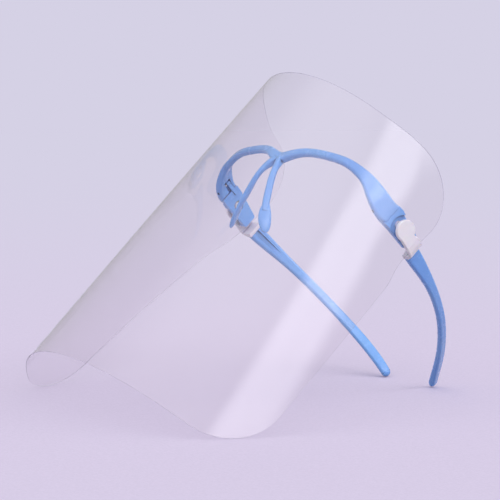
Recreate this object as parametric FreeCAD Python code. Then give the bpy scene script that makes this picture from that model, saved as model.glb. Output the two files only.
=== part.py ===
"""Face shield: a clear wrap-around sheet on a spectacle frame with folding, tilting arms.

The pieces are drawn as the shield is worn (+X to the wearer's left, +Y to the back of the head,
+Z up, with the zero point between the two frame joints). Every piece is then laid back so that
the shield stands on the sheet's lower rear corners and the two arm tips, on the plane Z = 0.
"""
import FreeCAD, Part
import math
import os

V = FreeCAD.Vector

# ---- driving dimensions, millimetres and degrees ----
SHEET_THICKNESS = 0.4
SHEET_HALF_WIDTH = 111.5      # along the sheet, from its centre line to a rear edge
SHEET_TOP = 38.0
SHEET_HEIGHT = 176.0
SHEET_CORNER = 29.0
TOP_TURN = 76.0               # how far the sheet has turned by the end of its bend
BOTTOM_TURN = 105.0
TOP_BEND = 80.0               # length of sheet, from the centre line, that is bent
BOTTOM_BEND = 187.0
TOP_FRONT = -50.0             # y of the sheet's centre line
BOTTOM_FRONT = -45.0
SHEET_ROWS = 33
SHEET_COLUMNS = 57

CLAMP_Y = 10.0                # middle of the part of the sheet that is pressed flat
CLAMP_Z = 0.2
CLAMP_X = 70.3                # middle of the sheet's thickness round the stud
CLAMP_FLAT = 10.0             # the sheet is flat within this radius of that point
CLAMP_BLEND = 30.0            # and has its free shape outside this one
PUSH_Y = -6.0                 # the frame's end pushes the sheet out round this point
PUSH_Z = 2.5
PUSH_X = 69.4
PUSH_REACH = 50.0
PUSH_BEND = 30.0              # how quickly the pushed-out part curves inward to the front

SIDE_INNER = 66.0             # inner and outer faces of the side bracket
SIDE_OUTER = 69.9
SIDE_TOP = 6.5
SIDE_BOTTOM = -4.5
SIDE_REAR = 19.4
SIDE_REAR_TOP = 3.5
SIDE_TAPER = 0.75             # both faces step inward by this much at the butt joint
SIDE_TAPER_END = 5.0
JOINT_GAP = 0.45              # gap at the butt joint between frame front and side bracket
JOINT_X = 66.4                # where the slanting butt joint crosses y = 0
JOINT_SLOPE = 0.8             # how far it runs back for every millimetre outward

RECESS_RADIUS = 7.0           # round recess in the bracket's outer face, behind the disc
RECESS_DEPTH = 1.6

PIN_X = 65.8                  # axis of the folding joint
PIN_Y = -4.9
PIN_RADIUS = 0.7
PIN_BOTTOM = -3.2
PIN_TOP = 5.6
KNUCKLE_RADIUS = 1.4
KNUCKLE_BOTTOM = 2.6
KNUCKLE_TOP = 4.55
KNUCKLE_GAP = 0.25
WINDOW_BOTTOM = 0.8           # the window is deeper below the knuckle than above it
WINDOW_TOP = 4.85
WINDOW_FRONT = 2.5            # how far it reaches in front of the pin's axis

STUD_Y = 8.2                  # axis of the stud the arm tilts on, ahead of the disc's centre
STUD_Z = 0.6
STUD_RADIUS = 1.8
RUNNING_GAP = 0.06            # radial, between a shaft and the hole it turns in
DISC_Y = 11.2
DISC_Z = 0.0
DISC_RADIUS = 5.0
DISC_INNER = 70.85            # the arm connector's disc, outside the sheet
DISC_OUTER = 72.7
COUNTERBORE_RADIUS = 2.65
COUNTERBORE_DEPTH = 1.2

ARM_FRONT_Y = 24.5
LEAN_BACK = 46.55             # how far the shield leans back when it stands
TAIL_FRONT_Y = 22.5           # the tail turns inward behind the sheet's rear edge
PAD_TURN = 52                 # how far the nose pads are turned towards the sides


def lerp(first, last, share):
    """Value a given share of the way from first to last."""
    return first + (last - first) * share


def smooth_step(value):
    """0 to 1 with no kink at either end."""
    value = min(max(value, 0.0), 1.0)
    return value * value * (3.0 - 2.0 * value)


def mirrored(shape):
    """The same shape on the wearer's other side."""
    return shape.mirror(V(0, 0, 0), V(1, 0, 0))


def cylinder_x(y, z, radius, start, end):
    """Round bar along X."""
    return Part.makeCylinder(radius, end - start, V(start, y, z), V(1, 0, 0))


def cylinder_z(x, y, radius, start, end):
    """Round bar along Z."""
    return Part.makeCylinder(radius, end - start, V(x, y, start), V(0, 0, 1))


# ---- sections and bars ----
def rounded_section(centre, along, width, height, corner):
    """Closed rounded rectangle square to a bar: width level, height up."""
    along = V(along).normalize()
    level = along.cross(V(0, 0, 1))
    if level.Length < 0.2:
        level = V(1, 0, 0)
    level.normalize()
    up = level.cross(along).normalize()
    half_w = width / 2
    half_h = height / 2
    corner = min(corner, half_w * 0.98, half_h * 0.98)
    bend = corner * (1 - math.sqrt(0.5))

    def at(across, rise):
        return centre + level * across + up * rise

    edges = []
    for sx, sz in ((1, 1), (-1, 1), (-1, -1), (1, -1)):
        before = at(sx * half_w, sz * (half_h - corner))
        middle = at(sx * (half_w - bend), sz * (half_h - bend))
        after = at(sx * (half_w - corner), sz * half_h)
        if sx * sz < 0:
            before, after = after, before
        if edges:
            edges.append(Part.LineSegment(last, before).toShape())
        else:
            first = before
        edges.append(Part.Arc(before, middle, after).toShape())
        last = after
    edges.append(Part.LineSegment(last, first).toShape())
    return Part.Wire(edges)


def bar(stations, corner):
    """Smooth bar through stations of (x, y, z, width, height)."""
    places = [V(*s[:3]) for s in stations]
    sections = []
    for number, station in enumerate(stations):
        before = places[max(number - 1, 0)]
        after = places[min(number + 1, len(places) - 1)]
        sections.append(rounded_section(places[number], after - before, station[3], station[4], corner))
    return Part.makeLoft(sections, True, False)


# ---- clear sheet ----
def free_sheet_point(along, height):
    """Middle of the sheet's thickness: an arc with a straight run behind it."""
    share = (SHEET_TOP - height) / SHEET_HEIGHT
    turn = math.radians(lerp(TOP_TURN, BOTTOM_TURN, share))
    bend = lerp(TOP_BEND, BOTTOM_BEND, share)
    radius = bend / turn
    bent = min(abs(along), bend)
    straight = abs(along) - bent
    angle = bent / radius
    x = radius * math.sin(angle) + straight * math.cos(angle)
    y = radius * (1 - math.cos(angle)) + straight * math.sin(angle)
    return V(math.copysign(x, along), y + lerp(TOP_FRONT, BOTTOM_FRONT, share), height)


def pushed_out(x, y, z):
    """How far the frame's end pushes the side of the sheet outward, with a soft start."""
    forward = max(-y, 0.0)
    need = PUSH_X - forward * forward / PUSH_BEND - x
    push = (need + math.hypot(need, 1.2)) / 2
    away = math.hypot(y - PUSH_Y, z - PUSH_Z)
    return push * (1 - smooth_step((away - CLAMP_FLAT) / (PUSH_REACH - CLAMP_FLAT)))


def sheet_point(along, height):
    """The free shape, pushed out by the frame's ends and pressed flat round the studs."""
    point = free_sheet_point(along, height)
    if abs(along) < 30:
        return point
    x = abs(point.x)
    x += pushed_out(x, point.y, point.z)
    away = math.hypot(point.y - CLAMP_Y, point.z - CLAMP_Z)
    free = smooth_step((away - CLAMP_FLAT) / (CLAMP_BLEND - CLAMP_FLAT))
    return V(math.copysign(lerp(CLAMP_X, x, free), along), point.y, point.z)


def sheet_normal(along, height):
    """Direction out of the sheet's convex side."""
    step = 0.5
    across = sheet_point(along + step, height) - sheet_point(along - step, height)
    upward = sheet_point(along, height + step) - sheet_point(along, height - step)
    return across.cross(upward).normalize()


def sheet_face(offset):
    """One of the sheet's two large faces."""
    grid = []
    for column in range(SHEET_COLUMNS):
        along = lerp(-SHEET_HALF_WIDTH, SHEET_HALF_WIDTH, column / (SHEET_COLUMNS - 1))
        line = []
        for row in range(SHEET_ROWS):
            height = SHEET_TOP - SHEET_HEIGHT * row / (SHEET_ROWS - 1)
            line.append(sheet_point(along, height) + sheet_normal(along, height) * offset)
        grid.append(line)
    surface = Part.BSplineSurface()
    surface.interpolate(grid)
    return surface


def corner_cutter(side, high):
    """Prism that takes one square corner off the sheet and leaves a round one."""
    arc = []
    steps = 8
    for number in range(steps + 1):
        angle = math.radians(90 * number / steps)
        along = SHEET_HALF_WIDTH - SHEET_CORNER * (1 - math.cos(angle))
        inward = SHEET_CORNER * (1 - math.sin(angle))
        height = SHEET_TOP - inward if high else SHEET_TOP - SHEET_HEIGHT + inward
        point = sheet_point(side * along, height)
        arc.append(V(0, point.y, point.z))
    curve = Part.BSplineCurve()
    curve.interpolate(arc)
    away = 30.0
    beyond = away if high else -away
    back = arc[0] + V(0, away, 0)
    outline = [arc[-1], arc[-1] + V(0, 0, beyond), V(0, back.y, arc[-1].z + beyond), back, arc[0]]
    edges = [curve.toShape()]
    for first, last in zip(outline, outline[1:]):
        edges.append(Part.LineSegment(first, last).toShape())
    profile = Part.Face(Part.Wire(edges))
    profile.translate(V(20 if side > 0 else -140, 0, 0))
    return profile.extrude(V(120, 0, 0))


def make_visor():
    outer = sheet_face(SHEET_THICKNESS / 2)
    inner = sheet_face(-SHEET_THICKNESS / 2)
    faces = [outer.toShape(), inner.toShape()]
    u0, u1, v0, v1 = outer.bounds()
    rims = [(surface.uIso(u0), surface.uIso(u1), surface.vIso(v0), surface.vIso(v1)) for surface in (outer, inner)]
    for first, last in zip(*rims):
        faces.append(Part.makeRuledSurface(first.toShape(), last.toShape()))
    shell = Part.makeShell(faces)
    shell.sewShape()
    sheet = Part.makeSolid(shell)
    if sheet.Volume < 0:
        sheet.reverse()
    for side in (1, -1):
        for high in (True, False):
            sheet = sheet.cut(corner_cutter(side, high))
        hole = STUD_RADIUS + 0.15
        sheet = sheet.cut(cylinder_x(STUD_Y, STUD_Z, hole, side * CLAMP_X - 5, side * CLAMP_X + 5))
    return sheet


# ---- spectacle front ----
def brow_bar():
    """Right-hand brow, from the bridge to the butt joint, as (x, y, z, width, height)."""
    return bar([
        (0.0, -24.6, 5.9, 3.6, 6.4),
        (6.0, -25.2, 7.3, 3.6, 5.2),
        (13.0, -25.0, 9.8, 3.4, 4.4),
        (22.0, -24.0, 11.3, 3.2, 4.1),
        (34.0, -22.4, 11.3, 3.2, 4.1),
        (46.0, -20.0, 10.4, 3.2, 4.4),
        (54.0, -17.0, 8.6, 3.3, 5.2),
        (59.8, -13.9, 6.4, 3.5, 6.6),
        (63.6, -9.6, 3.8, 3.8, 8.9),
        (65.9, -5.6, 1.9, 3.9, 10.4),
        (66.75, -2.6, 1.0, 3.9, 11.0),
        (67.2, 1.0, 1.0, 3.9, 11.0),
        (67.3, 5.0, 1.0, 3.9, 11.0),
    ], 1.3)


def nose_leg():
    """Leg from the bridge down to its pad."""
    return bar([
        (1.6, -24.9, 5.0, 4.2, 3.4),
        (3.9, -25.6, 0.5, 3.2, 3.2),
        (6.0, -25.2, -5.0, 2.6, 3.2),
        (8.0, -22.9, -12.0, 2.5, 3.4),
        (10.2, -20.2, -19.0, 2.3, 3.4),
        (11.3, -18.8, -22.0, 2.0, 3.0),
    ], 1.1)


def nose_pad():
    """Rounded paddle that rests on the side of the nose, set slantwise on the leg's outer side."""
    length, depth, thick = 14.0, 8.4, 2.2
    sections = []
    for share in (0.0, 0.08, 0.25, 0.45, 0.65, 0.85, 0.96, 1.0):
        swell = math.sqrt(max(1 - (2 * share ** 1.5 - 1) ** 2, 0.03))
        centre = V(10.2 + 3.8 * share, -20.4 + 6.0 * share, -16.6 - length * share)
        ring = Part.Ellipse(V(0, 0, 0), depth / 2 * swell, thick / 2 * (0.35 + 0.65 * swell)).toShape()
        ring.rotate(V(0, 0, 0), V(0, 0, 1), PAD_TURN)
        ring.rotate(V(0, 0, 0), V(1, 0, 0), -14)
        ring.translate(centre)
        sections.append(Part.Wire([ring]))
    return Part.makeLoft(sections, True, False)


def prism(points, travel):
    """Flat outline pushed along a straight path."""
    return Part.Face(Part.makePolygon(points + points[:1])).extrude(travel)


def hinge_window():
    """Room in the frame front for the bracket's knuckle, open to the inside and the rear."""
    deep = KNUCKLE_RADIUS + KNUCKLE_GAP
    tall = WINDOW_TOP - WINDOW_BOTTOM
    slot = Part.makeBox(10, -PIN_Y + 8, tall, V(PIN_X + deep - 10, PIN_Y, WINDOW_BOTTOM))
    round_end = cylinder_z(PIN_X, PIN_Y, deep, WINDOW_BOTTOM, WINDOW_TOP)
    mouth = Part.makeBox(10, WINDOW_FRONT, tall, V(PIN_X - 10, PIN_Y - WINDOW_FRONT, WINDOW_BOTTOM))
    return slot.fuse([round_end, mouth])


def behind_joint(gap):
    """Everything behind the slanting butt joint, starting at a given distance from it."""
    def line_y(x):
        return (x - JOINT_X) * JOINT_SLOPE + gap * math.hypot(1, JOINT_SLOPE)

    return prism([V(40, line_y(40), -60), V(80, line_y(80), -60), V(80, 80, -60), V(40, 80, -60)], V(0, 0, 120))


def make_front_frame():
    half = brow_bar().fuse([nose_leg(), nose_pad()])
    half = half.cut(hinge_window())
    half = half.cut(cylinder_z(PIN_X, PIN_Y, PIN_RADIUS + 0.01, -10, 10))
    half = half.cut(behind_joint(-JOINT_GAP / 2))
    wearers_left = Part.makeBox(100, 100, 100, V(0, -80, -60))
    half = half.common(wearers_left)
    return half.fuse(mirrored(half)).removeSplitter()


def make_hinge_pin():
    """Steel pin, flush with the top and bottom of the frame's end."""
    return cylinder_z(PIN_X, PIN_Y, PIN_RADIUS, PIN_BOTTOM, PIN_TOP)


# ---- side bracket, connector and arm ----
def side_plate():
    """Tapered plate with rounded corners, its front end stepped inward to meet the frame."""
    front = -4.0
    side = prism([
        V(SIDE_INNER - 5, front, SIDE_BOTTOM),
        V(SIDE_INNER - 5, SIDE_REAR, SIDE_BOTTOM + 0.3),
        V(SIDE_INNER - 5, SIDE_REAR, SIDE_REAR_TOP),
        V(SIDE_INNER - 5, 5.0, SIDE_TOP),
        V(SIDE_INNER - 5, front, SIDE_TOP),
    ], V(15, 0, 0))
    rear = [e for e in side.Edges if e.Length > 14.9 and e.CenterOfMass.y > SIDE_REAR - 1]
    side = side.makeFillet(1.2, rear)
    level = prism([
        V(SIDE_INNER - SIDE_TAPER, front, -10),
        V(SIDE_OUTER - SIDE_TAPER, front, -10),
        V(SIDE_OUTER - SIDE_TAPER, 2.4, -10),
        V(SIDE_OUTER, SIDE_TAPER_END + 1, -10),
        V(SIDE_OUTER, SIDE_REAR + 5, -10),
        V(SIDE_INNER, SIDE_REAR + 5, -10),
        V(SIDE_INNER, SIDE_TAPER_END, -10),
        V(SIDE_INNER - SIDE_TAPER, 0.0, -10),
    ], V(0, 0, 20))
    plate = side.common(level)
    faces = [f for f in plate.Faces if abs(f.normalAt(0, 0).x) > 0.9]
    edges = []
    for face in faces:
        for e in face.Edges:
            if e.CenterOfMass.y > SIDE_TAPER_END + 1.2:
                edges.append(e)
    plate = plate.makeFillet(0.4, edges)
    return plate.common(behind_joint(JOINT_GAP / 2))


def make_hinge_bracket():
    plate = side_plate()
    plate = plate.cut(cylinder_x(DISC_Y, DISC_Z, RECESS_RADIUS, SIDE_OUTER - RECESS_DEPTH, SIDE_OUTER + 5))
    knuckle = cylinder_z(PIN_X, PIN_Y, KNUCKLE_RADIUS, KNUCKLE_BOTTOM, KNUCKLE_TOP)
    inner = SIDE_INNER - 1.1
    wide = PIN_X + KNUCKLE_RADIUS - inner
    tongue = Part.makeBox(wide, 2.5 - PIN_Y, KNUCKLE_TOP - KNUCKLE_BOTTOM, V(inner, PIN_Y, KNUCKLE_BOTTOM))
    body = plate.fuse([knuckle, tongue])
    body = body.cut(cylinder_z(PIN_X, PIN_Y, PIN_RADIUS + RUNNING_GAP, -10, 10))
    body = body.cut(cylinder_x(STUD_Y, STUD_Z, STUD_RADIUS + RUNNING_GAP, 60, 75))
    mouth = SIDE_INNER + COUNTERBORE_DEPTH
    return body.cut(cylinder_x(STUD_Y, STUD_Z, COUNTERBORE_RADIUS, SIDE_INNER - 1, mouth))


def arm_line():
    """Centre line of an arm with its width and height at each station."""
    return [
        (66.1, ARM_FRONT_Y - 1.5, -1.9, 3.5, 8.2),
        (63.4, 34.0, -1.7, 3.2, 7.2),
        (59.7, 46.0, -1.5, 3.0, 5.6),
        (54.6, 58.5, -1.9, 2.8, 4.9),
        (48.2, 71.0, -3.2, 2.8, 4.8),
        (40.4, 83.0, -5.4, 2.8, 5.0),
        (31.6, 94.5, -8.5, 3.0, 5.2),
        (23.4, 104.0, -12.3, 3.2, 5.0),
        (19.4, 108.9, -14.7, 3.3, 4.6),
    ]


def arm_tip():
    """Rounded end of the arm."""
    x, y, z, width, height = arm_line()[-1]
    tip = Part.makeSphere(1.0)
    stretch = FreeCAD.Matrix()
    stretch.scale(width / 2, width / 2 * 1.3, height / 2)
    tip = tip.transformGeometry(stretch)
    tip.rotate(V(0, 0, 0), V(0, 0, 1), 38)
    tip.translate(V(x, y, z))
    return tip


def tongue_bar(grow):
    """The connector's tongue, or a little larger the blind socket in the arm that takes it."""
    return bar([
        (66.1, ARM_FRONT_Y - 1.2, -1.9, 1.2 + grow, 3.0 + grow),
        (64.4, 30.0, -1.75, 1.2 + grow, 3.0 + grow),
        (63.0, 35.6, -1.65, 1.2 + grow, 3.0 + grow),
    ], 0.2)


def arm_groove():
    """Shallow channel along the front of the arm's inner face, running out at its rear end."""
    return bar([
        (64.6, ARM_FRONT_Y - 1.5, -1.9, 1.5, 2.6),
        (61.95, 33.0, -1.8, 1.5, 2.4),
        (60.2, 38.5, -1.7, 1.3, 2.0),
        (58.0, 43.5, -1.6, 0.9, 1.2),
    ], 0.3)


def make_temple():
    arm = bar(arm_line(), 1.3).fuse(arm_tip())
    arm = arm.cut(Part.makeBox(40, 20, 40, V(50, ARM_FRONT_Y - 20, -20)))
    return arm.cut(tongue_bar(0.2)).cut(arm_groove())


def connector_tail():
    """Plate behind the disc that steps round the sheet's rear edge to the front of the arm."""
    rear = ARM_FRONT_Y - 0.1
    front = DISC_Y + 1
    level = prism([
        V(DISC_INNER, front, -10),
        V(DISC_OUTER, front, -10),
        V(DISC_OUTER, 18.0, -10),
        V(DISC_OUTER - 0.5, 21.0, -10),
        V(DISC_OUTER - 1.4, 23.0, -10),
        V(68.0, rear, -10),
        V(64.3, rear, -10),
        V(64.3, TAIL_FRONT_Y, -10),
        V(DISC_INNER, TAIL_FRONT_Y, -10),
    ], V(0, 0, 20))
    side = prism([
        V(60, front, -4.7),
        V(60, rear, -6.0),
        V(60, rear, 2.3),
        V(60, 17.6, 2.4),
        V(60, 16.6, 1.9),
        V(60, front, 1.9),
    ], V(20, 0, 0))
    return level.common(side)


def make_temple_connector():
    """Disc with a split snap stud, the tail behind it and the tongue that fixes it in the arm."""
    disc = cylinder_x(DISC_Y, DISC_Z, DISC_RADIUS, DISC_INNER, DISC_OUTER)
    body = disc.fuse([connector_tail()]).removeSplitter()
    flat = [f for f in body.Faces if f.CenterOfMass.x > DISC_OUTER - 0.01]
    body = body.makeFillet(0.35, flat[0].Edges)
    barb_end = SIDE_INNER + 0.15
    stud = cylinder_x(STUD_Y, STUD_Z, STUD_RADIUS, barb_end, DISC_INNER + 0.5)
    barb = Part.makeCone(STUD_RADIUS - 0.2, STUD_RADIUS + 0.4, 0.9, V(barb_end, STUD_Y, STUD_Z), V(1, 0, 0))
    tongue = tongue_bar(0.0).cut(Part.makeBox(40, 20, 20, V(50, 35.0, -12)))
    body = body.fuse([stud, barb, tongue])
    slit = Part.makeBox(4.0, 0.5, 8, V(barb_end - 1, STUD_Y - 0.25, STUD_Z - 4))
    return body.cut(slit)


# ---- assembly ----
def stand_up(pieces):
    """Lays every piece back, then puts the middle of the footprint at the zero point."""
    lowest = V(1e9, 1e9, 1e9)
    highest = V(-1e9, -1e9, -1e9)
    for name in pieces:
        pieces[name] = pieces[name].copy()
        pieces[name].rotate(V(0, 0, 0), V(1, 0, 0), -LEAN_BACK)
        box = pieces[name].optimalBoundingBox(True, False)
        lowest = V(min(lowest.x, box.XMin), min(lowest.y, box.YMin), min(lowest.z, box.ZMin))
        highest = V(max(highest.x, box.XMax), max(highest.y, box.YMax), max(highest.z, box.ZMax))
        print(name, "lowest point", round(box.ZMin, 3))
    shift = V(0, -(lowest.y + highest.y) / 2, -lowest.z)
    print("lean", LEAN_BACK, "shift", round(shift.y, 4), round(shift.z, 4))
    for shape in pieces.values():
        shape.translate(shift)


def build():
    pieces = {"visor": make_visor(), "front_frame": make_front_frame()}
    one_side = {
        "hinge_pin": make_hinge_pin(),
        "hinge_bracket": make_hinge_bracket(),
        "temple_connector": make_temple_connector(),
        "temple": make_temple(),
    }
    for name, shape in one_side.items():
        pieces["left_" + name] = shape
        pieces["right_" + name] = mirrored(shape)
    stand_up(pieces)
    return pieces


def main():
    os.makedirs("parts", exist_ok=True)
    for name, shape in build().items():
        if len(shape.Solids) != 1 or not shape.isValid():
            print("CHECK", name, "solids", len(shape.Solids), "valid", shape.isValid())
        shape.exportStep("parts/" + name + ".step")


main()
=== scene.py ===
"""Looks for the face shield: clear sheet, blue spectacle frame and arms, white side fittings.

Sizes are in millimetres as the shield is worn (+X to the wearer's left, +Y to the back,
+Z up) and placed() turns them into the row frame in metres.
"""

import math

import bpy
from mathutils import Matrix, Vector


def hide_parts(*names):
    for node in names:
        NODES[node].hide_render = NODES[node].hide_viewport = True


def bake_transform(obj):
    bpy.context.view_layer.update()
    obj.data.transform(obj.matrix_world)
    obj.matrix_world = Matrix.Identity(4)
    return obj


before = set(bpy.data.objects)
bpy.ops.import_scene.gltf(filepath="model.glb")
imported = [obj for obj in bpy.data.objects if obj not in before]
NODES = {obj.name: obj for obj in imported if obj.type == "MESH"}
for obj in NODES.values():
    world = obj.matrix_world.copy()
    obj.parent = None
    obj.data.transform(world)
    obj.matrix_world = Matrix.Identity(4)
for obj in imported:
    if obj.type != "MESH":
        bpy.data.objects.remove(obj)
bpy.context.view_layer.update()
MM = 0.001

# ---- the stance: how far the worn shield leans back, and where it then stands ----
LEAN_BACK = math.radians(46.55)
SHIFT_Y = 32.3854
SHIFT_Z = 91.3016

# ---- the clear sheet ----
SHEET_THICKNESS = 0.4
SHEET_HALF_WIDTH = 111.5      # from the middle to a side edge, along the surface
SHEET_TOP = 38.0
SHEET_HEIGHT = 176.0
SHEET_CORNER = 29.0
TOP_TURN = 76.0               # degrees that the bent stretch turns through on each side
BOTTOM_TURN = 105.0
TOP_BEND = 80.0               # length of the bent stretch on each side; what is left over is straight
BOTTOM_BEND = 187.0
TOP_FRONT = -50.0             # the sheet's foremost line
BOTTOM_FRONT = -45.0
MIDDLE_FREE = 30.0            # this near the middle nothing clamps or pushes the sheet

# the flat patch under each white disc
CLAMP_X = 70.3
CLAMP_Y = 10.0
CLAMP_Z = 0.2
CLAMP_FLAT = 10.0             # radius that is flat
CLAMP_BLEND = 30.0            # radius where the sheet is free again

# the brow's ends push the sheet outward
PUSH_X = 69.4
PUSH_Y = -6.0
PUSH_Z = 2.5
PUSH_REACH = 50.0
PUSH_BEND = 30.0              # how fast the pushed part curves inward towards the front
PUSH_SOFT = 1.2               # rounds the change from free to pushed

# the hole for the white fitting's stud
STUD_Y = 8.2
STUD_Z = 0.6
STUD_HOLE = 1.95
HOLE_MARGIN = 0.4             # cells whose centre is this near outside the hole are cut too

# the sheet's mesh
COLUMNS = 64
CORNER_ROWS = 14
MIDDLE_ROWS = 56
NORMAL_STEP = 0.5
FILM_SLOT, EDGE_SLOT, SEAM_SLOT, INSIDE_SLOT = range(4)

# ---- plastic and film ----
HEAD_ON_GLOSS = 0.045         # share of light the film's surface reflects when seen square on
GRAZING_POWER = 5.0           # how late the film turns to a mirror towards a grazing view
FILM_TINT = (0.980, 0.974, 0.980, 1.0)
HAZE_SHARE = 0.012
EDGE_SHARE = 0.42             # how much of what lies behind it the cut rim hides
CREVICE_REACH = 0.004         # metres within which nearby surfaces darken the plastic with painted shade

# ---- background, floor and light ----
BACKDROP_RGB = (213, 209, 229)
FLOOR_DARK = (0.68, 0.625, 0.775, 1.0)
FLOOR_LIGHT = (0.72, 0.66, 0.815, 1.0)
FLOOR_BOUNCE = 0.45           # share of the floor's colour that lights the object from below
FLOOR_HALF_SIZE = 30.0        # metres, as are the three below
FLOOR_DROP = 0.0004
FADE_START = 0.15             # distance from the middle where the floor starts to fade
FADE_END = 3.0                # and where only the background colour is left
STUDIO_TINT = (0.98, 0.955, 1.0, 1.0)
STUDIO_BASE = 0.56            # brightness all round
STUDIO_BOXES = (
    # long strip high on the wearer's left, which gives the sheet its bright band
    {"azimuth": 100, "elevation": 40, "half_wide": 0.95, "half_high": 0.17, "soft": 0.07, "power": 2.6},
    # broad and dim, above
    {"azimuth": 30, "elevation": 66, "half_wide": 0.7, "half_high": 0.7, "soft": 0.5, "power": 0.75},
    # a darker patch of wall on the wearer's right
    {"azimuth": -80, "elevation": 30, "half_wide": 0.8, "half_high": 0.8, "soft": 0.5, "power": -0.12},
)

# ---- camera ----
VIEW_AZIMUTH = 57.22
VIEW_ELEVATION = 5.53
VIEW_DISTANCE = 1.058
VIEW_AIM = (-0.0116, 0.0100, 0.0692)
LENS = 159.5
SENSOR_WIDTH = 36
NEAR_CLIP = 0.01


def placed(x, y, z):
    """Worn millimetres to row-frame metres."""
    cos, sin = math.cos(LEAN_BACK), math.sin(LEAN_BACK)
    return Vector((x, y * cos + z * sin + SHIFT_Y, z * cos - y * sin + SHIFT_Z)) * MM


def lerp(first, last, share):
    return first + (last - first) * share


def smooth_step(value):
    value = min(max(value, 0.0), 1.0)
    return value * value * (3.0 - 2.0 * value)


# ---- node helpers ----
class Nodes:
    """Short way to build a node tree: every call makes nodes and links their inputs."""

    def __init__(self, tree):
        self.tree = tree
        tree.nodes.clear()

    def add(self, kind, settings=None, **inputs):
        """An input goes by its label, with _ for a space, or by its number as i0, i1 and so on."""
        node = self.tree.nodes.new(kind)
        for key, value in (settings or {}).items():
            setattr(node, key, value)
        for key, value in inputs.items():
            numbered = key[0] == "i" and key[1:].isdigit()
            socket = node.inputs[int(key[1:]) if numbered else key.replace("_", " ")]
            if isinstance(value, bpy.types.NodeSocket):
                self.tree.links.new(value, socket)
            else:
                socket.default_value = value
        return node

    def math(self, operation, first, second=0.0, third=0.0):
        node = self.add("ShaderNodeMath", {"operation": operation}, i0=first, i1=second, i2=third)
        return node.outputs[0]

    def vector(self, operation, **inputs):
        """A vector operation that gives one number."""
        return self.add("ShaderNodeVectorMath", {"operation": operation}, **inputs).outputs["Value"]

    def noise(self, vector, scale, detail, roughness):
        node = self.add("ShaderNodeTexNoise", None,
                        Vector=vector, Scale=scale, Detail=detail, Roughness=roughness)
        return node.outputs["Fac"]

    def ramp(self, value, low, high, to_low=0.0, to_high=1.0):
        node = self.add("ShaderNodeMapRange", {"interpolation_type": "SMOOTHSTEP"}, Value=value,
                        From_Min=low, From_Max=high, To_Min=to_low, To_Max=to_high)
        return node.outputs["Result"]

    def mix(self, share, first, last):
        node = self.add("ShaderNodeMix", {"data_type": "RGBA"}, i0=share, i6=first, i7=last)
        return node.outputs[2]

    def mix_shader(self, share, first, last):
        return self.add("ShaderNodeMixShader", None, i0=share, i1=first.outputs[0], i2=last.outputs[0])

    def bump(self, height, strength, distance):
        node = self.add("ShaderNodeBump", None, Strength=strength, Distance=distance, Height=height)
        return node.outputs["Normal"]

    def place(self):
        """Where on the piece a point lies."""
        return self.add("ShaderNodeTexCoord").outputs["Object"]

    def finish(self, shader, kind="ShaderNodeOutputMaterial"):
        self.add(kind, None, Surface=shader.outputs[0])


def material(name):
    made = bpy.data.materials.new(name)
    made.use_nodes = True
    return made, Nodes(made.node_tree)


def rgb(red, green, blue, alpha=1.0):
    """0-255 display colour to linear."""
    out = []
    for value in (red, green, blue):
        value = value / 255
        out.append(value / 12.92 if value <= 0.04045 else ((value + 0.055) / 1.055) ** 2.4)
    return (*out, alpha)


# ---- materials ----
def moulded_plastic(name, light, dark, shade, roughness, glow):
    """Injection-moulded gloss plastic: flow marks, orange-peel bump, crevices darkened with painted
    shade, a glossy coat.
    """
    made, n = material(name)
    place = n.place()
    flow = n.noise(place, scale=30.0, detail=3.0, roughness=0.5)
    cloud = n.noise(place, scale=260.0, detail=2.0, roughness=0.5)
    grain = n.noise(place, scale=2600.0, detail=2.0, roughness=0.6)
    tone = n.math("ADD", n.math("MULTIPLY", flow, 0.8), n.math("MULTIPLY", cloud, 0.2))
    colour = n.mix(n.ramp(tone, 0.3, 0.7), dark, light)
    # painted shade: the colour goes towards the shade colour where nearby surfaces hide the light, in
    # crevices, slots and joints
    open_to_light = n.add("ShaderNodeAmbientOcclusion", {"samples": 8, "only_local": True},
                          Distance=CREVICE_REACH).outputs["AO"]
    colour = n.mix(n.ramp(open_to_light, 0.42, 0.88), shade, colour)
    rough = n.ramp(cloud, 0.35, 0.7, roughness - 0.04, roughness + 0.05)
    height = n.math("ADD", n.math("MULTIPLY", grain, 0.35), n.math("MULTIPLY", cloud, 0.65))
    shader = n.add("ShaderNodeBsdfPrincipled", None, Base_Color=colour, Roughness=rough, IOR=1.5,
                   Normal=n.bump(height, strength=0.10, distance=0.00005),
                   Coat_Weight=0.5, Coat_Roughness=0.08,
                   Subsurface_Weight=glow, Subsurface_Radius=(0.4, 0.6, 1.0), Subsurface_Scale=0.0012)
    n.finish(shader)
    return made


def clear_film(name, gloss, tint):
    """Thin clear film: see-through with a Fresnel gloss, faint waviness and a trace of haze."""
    made, n = material(name)
    place = n.place()
    wave = n.noise(place, scale=7.0, detail=1.0, roughness=0.4)
    scuff = n.noise(place, scale=420.0, detail=5.0, roughness=0.7)
    glossy = n.add("ShaderNodeBsdfAnisotropic", None, Color=(1.0, 1.0, 1.0, 1.0),
                   Roughness=n.ramp(scuff, 0.45, 0.75, 0.035, 0.11),
                   Normal=n.bump(wave, strength=0.12, distance=0.002))
    clear = n.add("ShaderNodeBsdfTransparent", None, Color=tint)
    haze = n.add("ShaderNodeBsdfDiffuse", None, Color=(0.90, 0.88, 0.96, 1.0))
    geometry = n.add("ShaderNodeNewGeometry").outputs
    facing = n.vector("DOT_PRODUCT", i0=geometry["Normal"], i1=geometry["Incoming"])
    grazing = n.math("POWER", n.math("SUBTRACT", 1.0, n.math("ABSOLUTE", facing)), GRAZING_POWER)
    mirror = n.math("MULTIPLY_ADD", grazing, gloss * (1.0 - HEAD_ON_GLOSS), gloss * HEAD_ON_GLOSS)
    body = n.mix_shader(HAZE_SHARE, clear, haze)
    n.finish(n.mix_shader(mirror, body, glossy))
    return made


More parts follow.
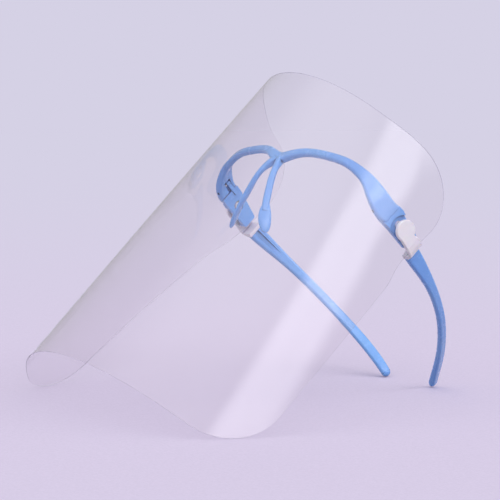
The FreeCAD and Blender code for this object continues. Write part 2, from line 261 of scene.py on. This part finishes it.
def cut_edge():
    """The film's cut rim, where light gathers: a darker line of painted shade with bright runs of painted
    highlight.
    """
    made, n = material("film_cut_edge")
    painted_glint_mask = n.noise(n.place(), scale=30.0, detail=2.0, roughness=0.5)
    # painted shade for the dark line and painted highlights for the bright runs
    colour = n.mix(n.ramp(painted_glint_mask, 0.4, 0.62), rgb(168, 160, 184), rgb(236, 234, 246))
    clear = n.add("ShaderNodeBsdfTransparent", None, Color=(0.9, 0.9, 0.94, 1.0))
    gloss = n.add("ShaderNodeBsdfPrincipled", None, Base_Color=colour, Roughness=0.25)
    n.finish(n.mix_shader(EDGE_SHARE, clear, gloss))
    return made


def unseen():
    """Where the film's two halves meet there is no edge to see."""
    made, n = material("film_seam")
    n.finish(n.add("ShaderNodeBsdfTransparent", None, Color=(1.0, 1.0, 1.0, 1.0)))
    return made


def steel():
    """Fine-turned steel for the pins."""
    made, n = material("pin_steel")
    turned = n.noise(n.place(), scale=3000.0, detail=2.0, roughness=0.6)
    colour = n.mix(turned, (0.42, 0.43, 0.46, 1.0), (0.62, 0.62, 0.65, 1.0))
    rough = n.ramp(turned, 0.3, 0.7, 0.22, 0.4)
    n.finish(n.add("ShaderNodeBsdfPrincipled", None, Base_Color=colour, Roughness=rough, Metallic=1.0))
    return made


# ---- the clear sheet's shape ----
def free_point(along, height):
    """The sheet with nothing pressing on it: its bend grows towards the bottom."""
    share = (SHEET_TOP - height) / SHEET_HEIGHT
    turn = math.radians(lerp(TOP_TURN, BOTTOM_TURN, share))
    bend = lerp(TOP_BEND, BOTTOM_BEND, share)
    radius = bend / turn
    bent = min(abs(along), bend)
    straight = abs(along) - bent
    angle = bent / radius
    x = radius * math.sin(angle) + straight * math.cos(angle)
    y = radius * (1 - math.cos(angle)) + straight * math.sin(angle)
    return Vector((math.copysign(x, along), y + lerp(TOP_FRONT, BOTTOM_FRONT, share), height))


def pushed_out(x, y, z):
    """How far the brow's end pushes the sheet outward, fading with the distance from it."""
    forward = max(-y, 0.0)
    need = PUSH_X - forward * forward / PUSH_BEND - x
    push = (need + math.hypot(need, PUSH_SOFT)) / 2
    away = math.hypot(y - PUSH_Y, z - PUSH_Z)
    return push * (1 - smooth_step((away - CLAMP_FLAT) / (PUSH_REACH - CLAMP_FLAT)))


def sheet_point(along, height):
    """The sheet as fitted: pushed out by the brow's ends and flat under the white discs."""
    point = free_point(along, height)
    if abs(along) < MIDDLE_FREE:
        return point
    x = abs(point.x)
    x += pushed_out(x, point.y, point.z)
    away = math.hypot(point.y - CLAMP_Y, point.z - CLAMP_Z)
    free = smooth_step((away - CLAMP_FLAT) / (CLAMP_BLEND - CLAMP_FLAT))
    return Vector((math.copysign(lerp(CLAMP_X, x, free), along), point.y, point.z))


def outward(shape, along, height):
    """Direction square to a sheet shape and away from the face, not of unit length."""
    across = shape(along + NORMAL_STEP, height) - shape(along - NORMAL_STEP, height)
    upward = shape(along, height + NORMAL_STEP) - shape(along, height - NORMAL_STEP)
    return across.cross(upward)


def free_normal(along, height):
    """Normal of the unclamped sheet in the row frame: the reflections stay calm round the clamps."""
    return (placed(*outward(free_point, along, height)) - placed(0, 0, 0)).normalized()


def sheet_rows():
    """(height, half width there) from the top edge to the bottom, close together in the round corners."""
    corner = []
    for number in range(CORNER_ROWS):
        angle = math.radians(90 * (number / CORNER_ROWS))
        drop = SHEET_CORNER * (1 - math.cos(angle))
        corner.append((drop, SHEET_HALF_WIDTH - SHEET_CORNER * (1 - math.sin(angle))))
    sheet_bottom = SHEET_TOP - SHEET_HEIGHT
    top = [(SHEET_TOP - drop, width) for drop, width in corner]
    bottom = [(sheet_bottom + drop, width) for drop, width in reversed(corner)]
    middle = []
    for number in range(MIDDLE_ROWS + 1):
        height = lerp(SHEET_TOP - SHEET_CORNER, sheet_bottom + SHEET_CORNER, number / MIDDLE_ROWS)
        middle.append((height, SHEET_HALF_WIDTH))
    return top + middle + bottom


# ---- the clear sheet's mesh: one half is a grid of rows and columns, from the middle outward ----
def grid_index(row, column):
    return row * (COLUMNS + 1) + column


def grid_params(side, rows):
    """(along, height) of each grid point."""
    params = []
    for height, width in rows:
        for column in range(COLUMNS + 1):
            params.append((side * width * column / COLUMNS, height))
    return params


def hole_cells(params, row_count):
    """Cells round the stud, which give way to a clean round hole."""
    cells = set()
    for row in range(row_count - 1):
        for column in range(COLUMNS):
            near, far = grid_index(row, column), grid_index(row + 1, column)
            corners = (near, near + 1, far + 1, far)
            centre = sum((sheet_point(*params[corner]) for corner in corners), Vector()) / 4
            if math.hypot(centre.y - STUD_Y, centre.z - STUD_Z) < STUD_HOLE + HOLE_MARGIN:
                cells.add((row, column))
    return cells


def hole_edge(cells):
    """Grid points on the hole's rim."""
    edge = set()
    for row, column in cells:
        for r, c in ((row, column), (row, column + 1), (row + 1, column), (row + 1, column + 1)):
            around = ((r - 1, c - 1), (r - 1, c), (r, c - 1), (r, c))
            if not all(cell in cells for cell in around):
                edge.add(grid_index(r, c))
    return edge


def sheet_verts(params, edge):
    """Points of the outer face, then of the inner face, with the hole's rim moved onto its circle."""
    verts = []
    for offset in (SHEET_THICKNESS / 2, -SHEET_THICKNESS / 2):
        for number, (along, height) in enumerate(params):
            normal = outward(sheet_point, along, height).normalized()
            point = sheet_point(along, height) + normal * offset
            if number in edge:
                away = Vector((0, point.y - STUD_Y, point.z - STUD_Z)).normalized() * STUD_HOLE
                point = Vector((point.x, STUD_Y + away.y, STUD_Z + away.z))
            verts.append(placed(*point))
    return verts


def cell_faces(side, row_count, cells, count):
    """An outer and an inner face for each cell that isn't in the hole."""
    faces = []
    for row in range(row_count - 1):
        for column in range(COLUMNS):
            if (row, column) in cells:
                continue
            a, d = grid_index(row, column), grid_index(row + 1, column)
            b, c = a + 1, d + 1
            for corners in ((a, d, c, b), (a + count, b + count, c + count, d + count)):
                faces.append(corners if side > 0 else corners[::-1])
    return faces


def open_edges(faces, count):
    """Edges of the outer face that only one cell uses: the sheet's outline and the hole's rim."""
    used = dict.fromkeys(edge for face in faces for edge in zip(face, face[1:] + face[:1]))
    return [(a, b) for a, b in used if (b, a) not in used and max(a, b) < count]


def rim_slot(params, a, b):
    on_seam = params[a][0] == 0 and params[b][0] == 0
    return SEAM_SLOT if on_seam else EDGE_SLOT


def make_sheet_half(name, side):
    """One half of the film as a closed thin solid with a true cut rim and the stud's hole."""
    rows = sheet_rows()
    params = grid_params(side, rows)
    count = len(params)
    cells = hole_cells(params, len(rows))
    verts = sheet_verts(params, hole_edge(cells))
    faces = cell_faces(side, len(rows), cells, count)
    slots = [FILM_SLOT if face[0] < count else INSIDE_SLOT for face in faces]
    large = len(faces)
    for a, b in open_edges(faces, count):
        faces.append((b, a, a + count, b + count))
        slots.append(rim_slot(params, a, b))

    linked = sorted({vert for face in faces for vert in face})
    renumber = {vert: number for number, vert in enumerate(linked)}
    points = [verts[vert] for vert in linked]
    mesh = bpy.data.meshes.new(name)
    mesh.from_pydata(points, [], [[renumber[vert] for vert in face] for face in faces])
    for finish in (FILM, EDGE, SEAM, FILM_INSIDE):
        mesh.materials.append(finish)
    mesh.polygons.foreach_set("material_index", slots)
    mesh.polygons.foreach_set("use_smooth", [number < large for number in range(len(faces))])
    mesh.update()

    calm = []
    for polygon in mesh.polygons:
        for vertex in polygon.vertices:
            if polygon.index >= large:
                calm.append(polygon.normal)
                continue
            original = linked[vertex]
            facing = 1 if original < count else -1
            calm.append(free_normal(*params[original % count]) * facing)
    mesh.normals_split_custom_set(calm)
    made = bpy.data.objects.new(name, mesh)
    bpy.context.scene.collection.objects.link(made)
    return made


# ---- floor, light and camera ----
def make_floor():
    """Large pale floor that fades into the background colour away from the object."""
    size = FLOOR_HALF_SIZE
    mesh = bpy.data.meshes.new("floor")
    corners = [(-size, -size, 0), (size, -size, 0), (size, size, 0), (-size, size, 0)]
    mesh.from_pydata(corners, [], [(0, 1, 2, 3)])
    floor = bpy.data.objects.new("floor", mesh)
    floor.location.z = -FLOOR_DROP
    bpy.context.scene.collection.objects.link(floor)
    made, n = material("studio_floor")
    place = n.add("ShaderNodeNewGeometry").outputs["Position"]
    away = n.vector("LENGTH", i0=place)
    far = n.ramp(n.math("LOGARITHM", away, 10.0), math.log10(FADE_START), math.log10(FADE_END))
    paper = n.noise(place, scale=900.0, detail=3.0, roughness=0.6)
    colour = n.mix(n.ramp(paper, 0.3, 0.7), FLOOR_DARK, FLOOR_LIGHT)
    bounced = n.add("ShaderNodeLightPath").outputs["Is Diffuse Ray"]
    colour = n.mix(n.math("MULTIPLY", bounced, 1.0 - FLOOR_BOUNCE), colour, (0.0, 0.0, 0.0, 1.0))
    lit = n.add("ShaderNodeBsdfDiffuse", None, Color=colour)
    plain = n.add("ShaderNodeEmission", None, Color=rgb(*BACKDROP_RGB))
    n.finish(n.mix_shader(far, lit, plain))
    floor.data.materials.append(made)


def direction(azimuth, elevation):
    """Unit vector from the object towards a place, with angles as a view's azimuth and elevation."""
    a, e = math.radians(azimuth), math.radians(elevation)
    return Vector((math.sin(a) * math.cos(e), -math.cos(a) * math.cos(e), math.sin(e)))


def softbox(n, ray, azimuth, elevation, half_wide, half_high, soft, power):
    """Brightness of one rectangular softbox seen along ray, with soft edges."""
    towards = direction(azimuth, elevation)
    level = towards.cross(Vector((0, 0, 1))).normalized()
    up = level.cross(towards)

    def dot(vector):
        return n.vector("DOT_PRODUCT", i0=ray, i1=tuple(vector))

    depth = n.math("MAXIMUM", dot(towards), 0.001)
    across = n.math("ABSOLUTE", n.math("DIVIDE", dot(level), depth))
    rise = n.math("ABSOLUTE", n.math("DIVIDE", dot(up), depth))
    inside = n.math("MULTIPLY", n.ramp(across, half_wide + soft, half_wide - soft),
                    n.ramp(rise, half_high + soft, half_high - soft))
    front = n.math("GREATER_THAN", dot(towards), 0.01)
    return n.math("MULTIPLY", n.math("MULTIPLY", inside, front), power)


def make_light():
    """Pale studio all round with STUDIO_BOXES in it; the camera itself sees only the plain background."""
    world = bpy.data.worlds.new("studio")
    world.use_nodes = True
    bpy.context.scene.world = world
    n = Nodes(world.node_tree)
    ray = n.add("ShaderNodeTexCoord").outputs["Generated"]
    total = STUDIO_BASE
    for box in STUDIO_BOXES:
        total = n.math("ADD", total, softbox(n, ray, **box))
    lit = n.add("ShaderNodeBackground", None, Color=STUDIO_TINT, Strength=total)
    seen = n.add("ShaderNodeBackground", None, Color=rgb(*BACKDROP_RGB), Strength=1.0)
    camera_ray = n.add("ShaderNodeLightPath").outputs["Is Camera Ray"]
    n.finish(n.mix_shader(camera_ray, lit, seen), "ShaderNodeOutputWorld")


def make_camera():
    data = bpy.data.cameras.new("camera")
    data.lens = LENS
    data.sensor_width = SENSOR_WIDTH
    data.clip_start = NEAR_CLIP
    camera = bpy.data.objects.new("camera", data)
    bpy.context.scene.collection.objects.link(camera)
    back = direction(VIEW_AZIMUTH, VIEW_ELEVATION)
    camera.location = Vector(VIEW_AIM) + back * VIEW_DISTANCE
    camera.rotation_mode = "QUATERNION"
    camera.rotation_quaternion = (-back).to_track_quat("-Z", "Y")
    bpy.context.scene.camera = camera


# ---- the object ----
FILM = clear_film("clear_film", gloss=1.0, tint=FILM_TINT)
FILM_INSIDE = clear_film("clear_film_inside", gloss=0.5, tint=FILM_TINT)
EDGE = cut_edge()
SEAM = unseen()
# shade is the colour of the painted shade in crevices and joints
BLUE = moulded_plastic("blue_plastic", light=rgb(130, 188, 255), dark=rgb(116, 174, 250),
                       shade=rgb(24, 44, 120), roughness=0.24, glow=0.12)
WHITE = moulded_plastic("white_plastic", light=rgb(250, 245, 250), dark=rgb(244, 238, 246),
                        shade=rgb(196, 188, 206), roughness=0.32, glow=0.2)
STEEL = steel()


def finish_of(name):
    if "connector" in name:
        return WHITE
    if "pin" in name:
        return STEEL
    return BLUE


for name, node in NODES.items():
    if name == "visor":
        continue
    node.data.materials.clear()
    node.data.materials.append(finish_of(name))

for name, side in (("left", 1), ("right", -1)):
    half = make_sheet_half("film_" + name, side)
    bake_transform(half)
    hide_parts("visor")

make_floor()
make_light()
make_camera()
bpy.context.scene.view_settings.view_transform = "Standard"
